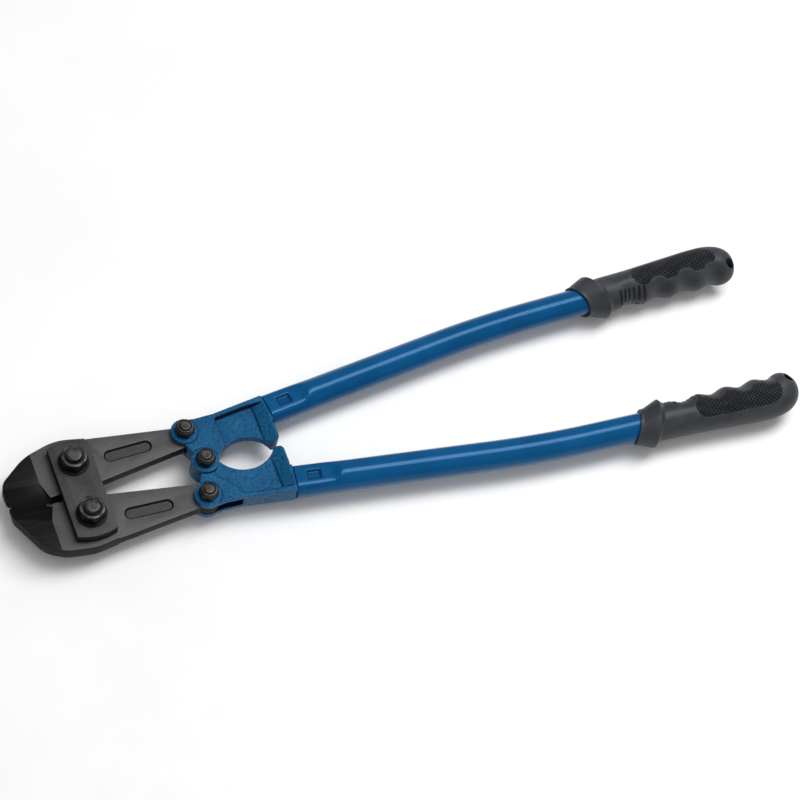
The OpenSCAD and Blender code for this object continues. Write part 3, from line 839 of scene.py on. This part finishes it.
def steel_finishes(mesh):
    """Flats, steep sides in painted shade, ground nose facets and blade bevels, by how a face
    lies.
    """
    centres, normals = face_data(mesh)
    tilt = np.degrees(np.arccos(np.clip(np.abs(normals[:, 2]), 0, 1)))
    ahead = centres[:, 0] < NOSE_X
    # Faces steeper than 50 degrees get the darker copy, painted shade.
    finish = np.where(tilt > 50, ON_SHADED_SIDE, ON_FLAT)
    finish = np.where(ahead & (tilt > 1) & (tilt < 8), ON_FACET, finish)
    finish = np.where((tilt > 10) & (tilt < 40), ON_BLADE, finish)
    set_materials(mesh, finish)
    for material in JAW_FINISHES:
        mesh.materials.append(material)


def from_recess_middle(x, y):
    """Distance from the middle line of the label recess in either jaw's arm."""
    x, y = x - LABEL_X, np.abs(y) - LABEL_Y
    along = x * cos(LABEL_TILT) + y * sin(LABEL_TILT)
    across = y * cos(LABEL_TILT) - x * sin(LABEL_TILT)
    past = along - np.clip(along, 0, LABEL_L)
    return np.hypot(past, across)


def darken_recess(mesh):
    """The floor of the label recess gets its own darker finish, and its rounded walls painted
    shade.
    """
    centres, normals = face_data(mesh)
    x, y, z = centres.T
    off = from_recess_middle(x, y)
    level = np.abs(normals[:, 2]) > LEVEL
    floor = (off < LABEL_R) & (np.abs(z) < LABEL_FLOOR + 0.1) & level
    walls = (np.abs(off - LABEL_R) < 0.9) & ~level
    indices = np.empty(len(mesh.polygons), np.int32)
    mesh.polygons.foreach_get("material_index", indices)
    set_materials(mesh, np.select([floor, walls], [ON_LABEL, ON_RECESS_SHADE], indices))


def paint_recess_shadow_line(mesh):
    """A painted shadow line along the foot of the recess's walls."""
    bm = bmesh.new()
    bm.from_mesh(mesh)
    floor = [face for face in bm.faces if face.material_index == ON_LABEL]
    line = bmesh.ops.inset_region(bm, faces=floor, thickness=LABEL_SHADOW_LINE, use_even_offset=True)
    for face in line["faces"]:
        face.material_index = ON_RECESS_SHADE
    bm.to_mesh(mesh)
    bm.free()


def add_jaws():
    """Both jaws, forged and ground, with a blank label recess in each arm."""
    for half in ("upper", "lower"):
        mesh = frame_shape(f"{half}_jaw")
        steel_finishes(mesh)
        mesh = eased(mesh, JAW_EASE)
        darken_recess(mesh)
        paint_recess_shadow_line(mesh)
        mark_edges(mesh)
        finish_piece(f"{half}_jaw_look", mesh, JAWS[half], f"{half}_jaw", [])


def add_plates():
    """The two link plates."""
    for side in ("front", "back"):
        mesh = frame_shape(f"{side}_link_plate")
        normals = face_data(mesh)[1]
        # Steep faces get the darker copy of the steel, painted shade.
        set_materials(mesh, np.abs(normals[:, 2]) < 0.7)
        mesh.materials.append(PLATE)
        mesh.materials.append(STEEL_SHADED_SIDE)
        mesh = eased(mesh, PLATE_EASE)
        mark_edges(mesh)
        finish_piece(f"{side}_link_plate_look", mesh, "link_plates", f"{side}_link_plate",
                     [])


# Castings. Heights are from the mid-plane, and lengths in millimetres.
VOXEL = 0.42                      # size of the even mesh that a casting is rebuilt from
RIB_X, RIB_Y, RIB_SLOPE = 110, 34, 0.14      # the middle line of the outer rib
WEB_TOP, GROUND_LOW, GROUND_TOP = 3.3, 6.6, 8.2   # just over the web, and round the ground's rim
POCKET_X, GROUND_X = 100, 97      # the pocket, and the raised ground, lie behind these
POCKET_Y, GROUND_Y = 12, 11       # and outwards of these
STEEP = 0.84                      # a steep wall's normal is less than this far up or down
RIM_BULGE = 0.012                 # a rounded rim's convexity is more than this
WALL_SHADE, RIM_SHADE = 0.82, 0.5   # painted shade there, out of 1
FORK_HALF, FORK_SHADE = 4.8, 0.97  # painted shade on the inside faces of a casting's forks
CAST_GRAIN, CAST_ROUGH = 0.55, 0.07          # grain per millimetre, and its height


def point_data(mesh):
    """Places and normals of the points."""
    count = len(mesh.vertices)
    places = np.empty(count * 3)
    normals = np.empty(count * 3)
    mesh.vertices.foreach_get("co", places)
    mesh.vertices.foreach_get("normal", normals)
    return places.reshape(-1, 3), normals.reshape(-1, 3)


def edge_ends(mesh):
    """The two points of every edge."""
    ends = np.empty(len(mesh.edges) * 2, int)
    mesh.edges.foreach_get("vertices", ends)
    return ends.reshape(-1, 2).T


def convexity(mesh):
    """Positive where the surface bulges, negative in hollows, for an even mesh."""
    places, normals = point_data(mesh)
    a, b = edge_ends(mesh)
    step = places[b] - places[a]
    bulge = np.zeros(len(places))
    np.add.at(bulge, a, -(step * normals[a]).sum(-1))
    np.add.at(bulge, b, (step * normals[b]).sum(-1))
    return bulge


def spread(mesh, values, rounds):
    """Values averaged with their neighbours a few times."""
    a, b = edge_ends(mesh)
    count = np.bincount(a, minlength=len(values)) + np.bincount(b, minlength=len(values))
    for _ in range(rounds):
        total = np.bincount(a, values[b], len(values)) + np.bincount(b, values[a], len(values))
        values = 0.4 * values + 0.6 * total / count
    return values


def inside_rib(places):
    """True between the tool's middle line and the middle of a casting's outer rib."""
    x, y, _ = places.T
    return np.abs(y) < RIB_Y + (x - RIB_X) * RIB_SLOPE


def pocket_wall(places, normals):
    """True on the steep walls of the pocket, which lies between the ground, rib and end block."""
    x, y, z = np.abs(places.T)
    behind = (x > POCKET_X) & (x < END_X - 3) & (y > POCKET_Y)
    return behind & (z > WEB_TOP) & inside_rib(places) & (np.abs(normals[:, 2]) < STEEP)


def ground_rim(places, bulge):
    """True on the rounded rim of the raised ground where it drops to the thin web."""
    x, y, z = np.abs(places.T)
    behind = (x > GROUND_X) & (x < END_X - 12) & (y > GROUND_Y)
    high = (z > GROUND_LOW) & (z < GROUND_TOP)
    return behind & high & inside_rib(places) & (bulge > RIM_BULGE)


def fork_inside(places, normals):
    """True on the faces of a fork that look in at the mid-plane."""
    height = np.abs(places[:, 2])
    inwards = places[:, 2] * normals[:, 2] < -0.5 * height
    return inwards & (height < FORK_HALF) & (height > 0.1)


def cast_skin(node):
    """The node's shape rebuilt as one even mesh with soft edges and corners."""
    obj = link_object("cast_tmp", frame_shape(node))
    skin = obj.modifiers.new("skin", "REMESH")
    skin.mode = "VOXEL"
    skin.voxel_size = VOXEL
    soften = obj.modifiers.new("soften", "SMOOTH")
    soften.factor = 0.5
    soften.iterations = 5
    return modified(obj)


def shade_casting(mesh):
    """Attributes for the paint: "edge" for painted highlights on the crests, and painted shade in
    corners, on the pocket's walls, on the ground's rim and inside the forks.
    """
    bulge = convexity(mesh)
    put_attribute(mesh, "edge", np.clip(bulge * 6 - 0.3, 0, 1))
    places, normals = point_data(mesh)
    # Painted shade in the hollows, on the pocket's walls and the ground's rim, and darkest inside
    # the forks.
    painted_shade = np.clip(spread(mesh, np.clip(-bulge * 6 - 0.3, 0, 1), 3) * 3.2, 0, 0.9)
    wall = np.clip(1.3 * spread(mesh, pocket_wall(places, normals).astype(float), 2), 0, 1)
    painted_shade = np.maximum(painted_shade, WALL_SHADE * wall)
    painted_shade = np.maximum(painted_shade, RIM_SHADE * ground_rim(places, bulge))
    painted_shade = np.where(fork_inside(places, normals), FORK_SHADE, painted_shade)
    put_attribute(mesh, "painted_shade", painted_shade)


def roughen(mesh):
    """The uneven surface of a sand casting."""
    places, normals = point_data(mesh)
    grain = np.array([noise.noise(Vector(p) * CAST_GRAIN) for p in places])
    places = places + normals * (CAST_ROUGH * grain)[:, None]
    mesh.vertices.foreach_set("co", places.ravel())


def add_castings():
    """Both handle castings, in blue enamel."""
    for half in ("upper", "lower"):
        mesh = cast_skin(f"{half}_casting")
        shade_casting(mesh)
        roughen(mesh)
        finish_piece(f"{half}_casting_look", mesh, HANDLES[half], f"{half}_casting",
                     [CAST_BLUE], angle=180)


# ---- Stage ---------------------------------------------------------------

FLOOR_HALF, FLOOR_GAP = 3.0, 0.0005          # metres, as all of the stage is


def add_stage():
    """A wide pale floor just under the tool."""
    corners = [(-1, -1, 0), (1, -1, 0), (1, 1, 0), (-1, 1, 0)]
    floor_mesh = to_mesh("floor", [FLOOR_HALF * Vector(c) for c in corners], [[0, 1, 2, 3]])
    floor = link_object("floor", floor_mesh)
    floor.location.z = cad_box[0][2] - FLOOR_GAP
    n = Nodes("pale_floor")
    colour = n.mix(n.ramp(n.noise(6, 3), 0.3, 0.7), (0.86, 0.86, 0.865), (0.9, 0.9, 0.9))
    rough = n.ramp(n.noise(40, 3), 0.3, 0.7, 0.55, 0.7)
    n.finish(colour, rough, n.bump(n.noise(300, 3), 0.0001))
    floor_mesh.materials.append(n.material)


def add_light(name, power, width, length, place):
    """A soft box at place, turned to the middle of the tool."""
    light = bpy.data.lights.new(name, "AREA")
    light.energy = power
    light.shape = "RECTANGLE"
    light.size = width
    light.size_y = length
    obj = link_object(name, light)
    obj.location = place
    obj.rotation_euler = (-place).to_track_quat("-Z", "Y").to_euler()
    return obj


def add_lights():
    """One long soft box overhead, a little to the right, and a wide matt ceiling."""
    bpy.context.scene.view_settings.view_transform = "Standard"
    world = bpy.data.worlds.new("studio")
    bpy.context.scene.world = world
    world.use_nodes = True
    background = world.node_tree.nodes["Background"]
    background.inputs["Color"].default_value = (1, 1, 1, 1)
    background.inputs["Strength"].default_value = 0.3
    add_light("overhead", 31, 0.75, 1.6, 1.9 * Vector((0.33, 0.10, 0.94)))
    ceiling = add_light("ceiling", 16, 3.0, 3.0, 2.2 * Vector((-0.1, -0.3, 0.95)))
    ceiling.visible_glossy = False


CAMERA_TURN, CAMERA_TILT, CAMERA_ROLL = radians(37.32), radians(57.72), radians(-18.77)
CAMERA_DISTANCE, CAMERA_LENS = 1.7965, 107.505
CAMERA_AIM = (253.5, 13.3, 0)                # in plan millimetres


def add_camera():
    """Looking down on the tool from in front and to the left of the jaws, rolled a little."""
    turn, tilt, roll = CAMERA_TURN, CAMERA_TILT, CAMERA_ROLL
    camera = bpy.data.cameras.new("camera")
    camera.sensor_width = 36
    camera.lens = CAMERA_LENS
    obj = link_object("camera", camera)
    away = Vector((-sin(turn) * cos(tilt), -cos(turn) * cos(tilt), sin(tilt)))
    obj.location = PLAN @ Vector(CAMERA_AIM) + CAMERA_DISTANCE * away
    right = Vector((cos(turn), -sin(turn), 0))
    up = away.cross(right)
    right_rolled = cos(roll) * right - sin(roll) * up
    up_rolled = sin(roll) * right + cos(roll) * up
    obj.rotation_euler = Matrix((right_rolled, up_rolled, away)).transposed().to_euler()
    bpy.context.scene.camera = obj


both_halves("tube", tube_mesh(), HANDLES, [TUBE_BLUE], 50)
both_halves("grip", grip_mesh(), HANDLES, [RUBBER], 55)
add_link_fasteners()
add_pin_fasteners()
add_plates()
add_jaws()
add_castings()
add_stage()
add_lights()
add_camera()
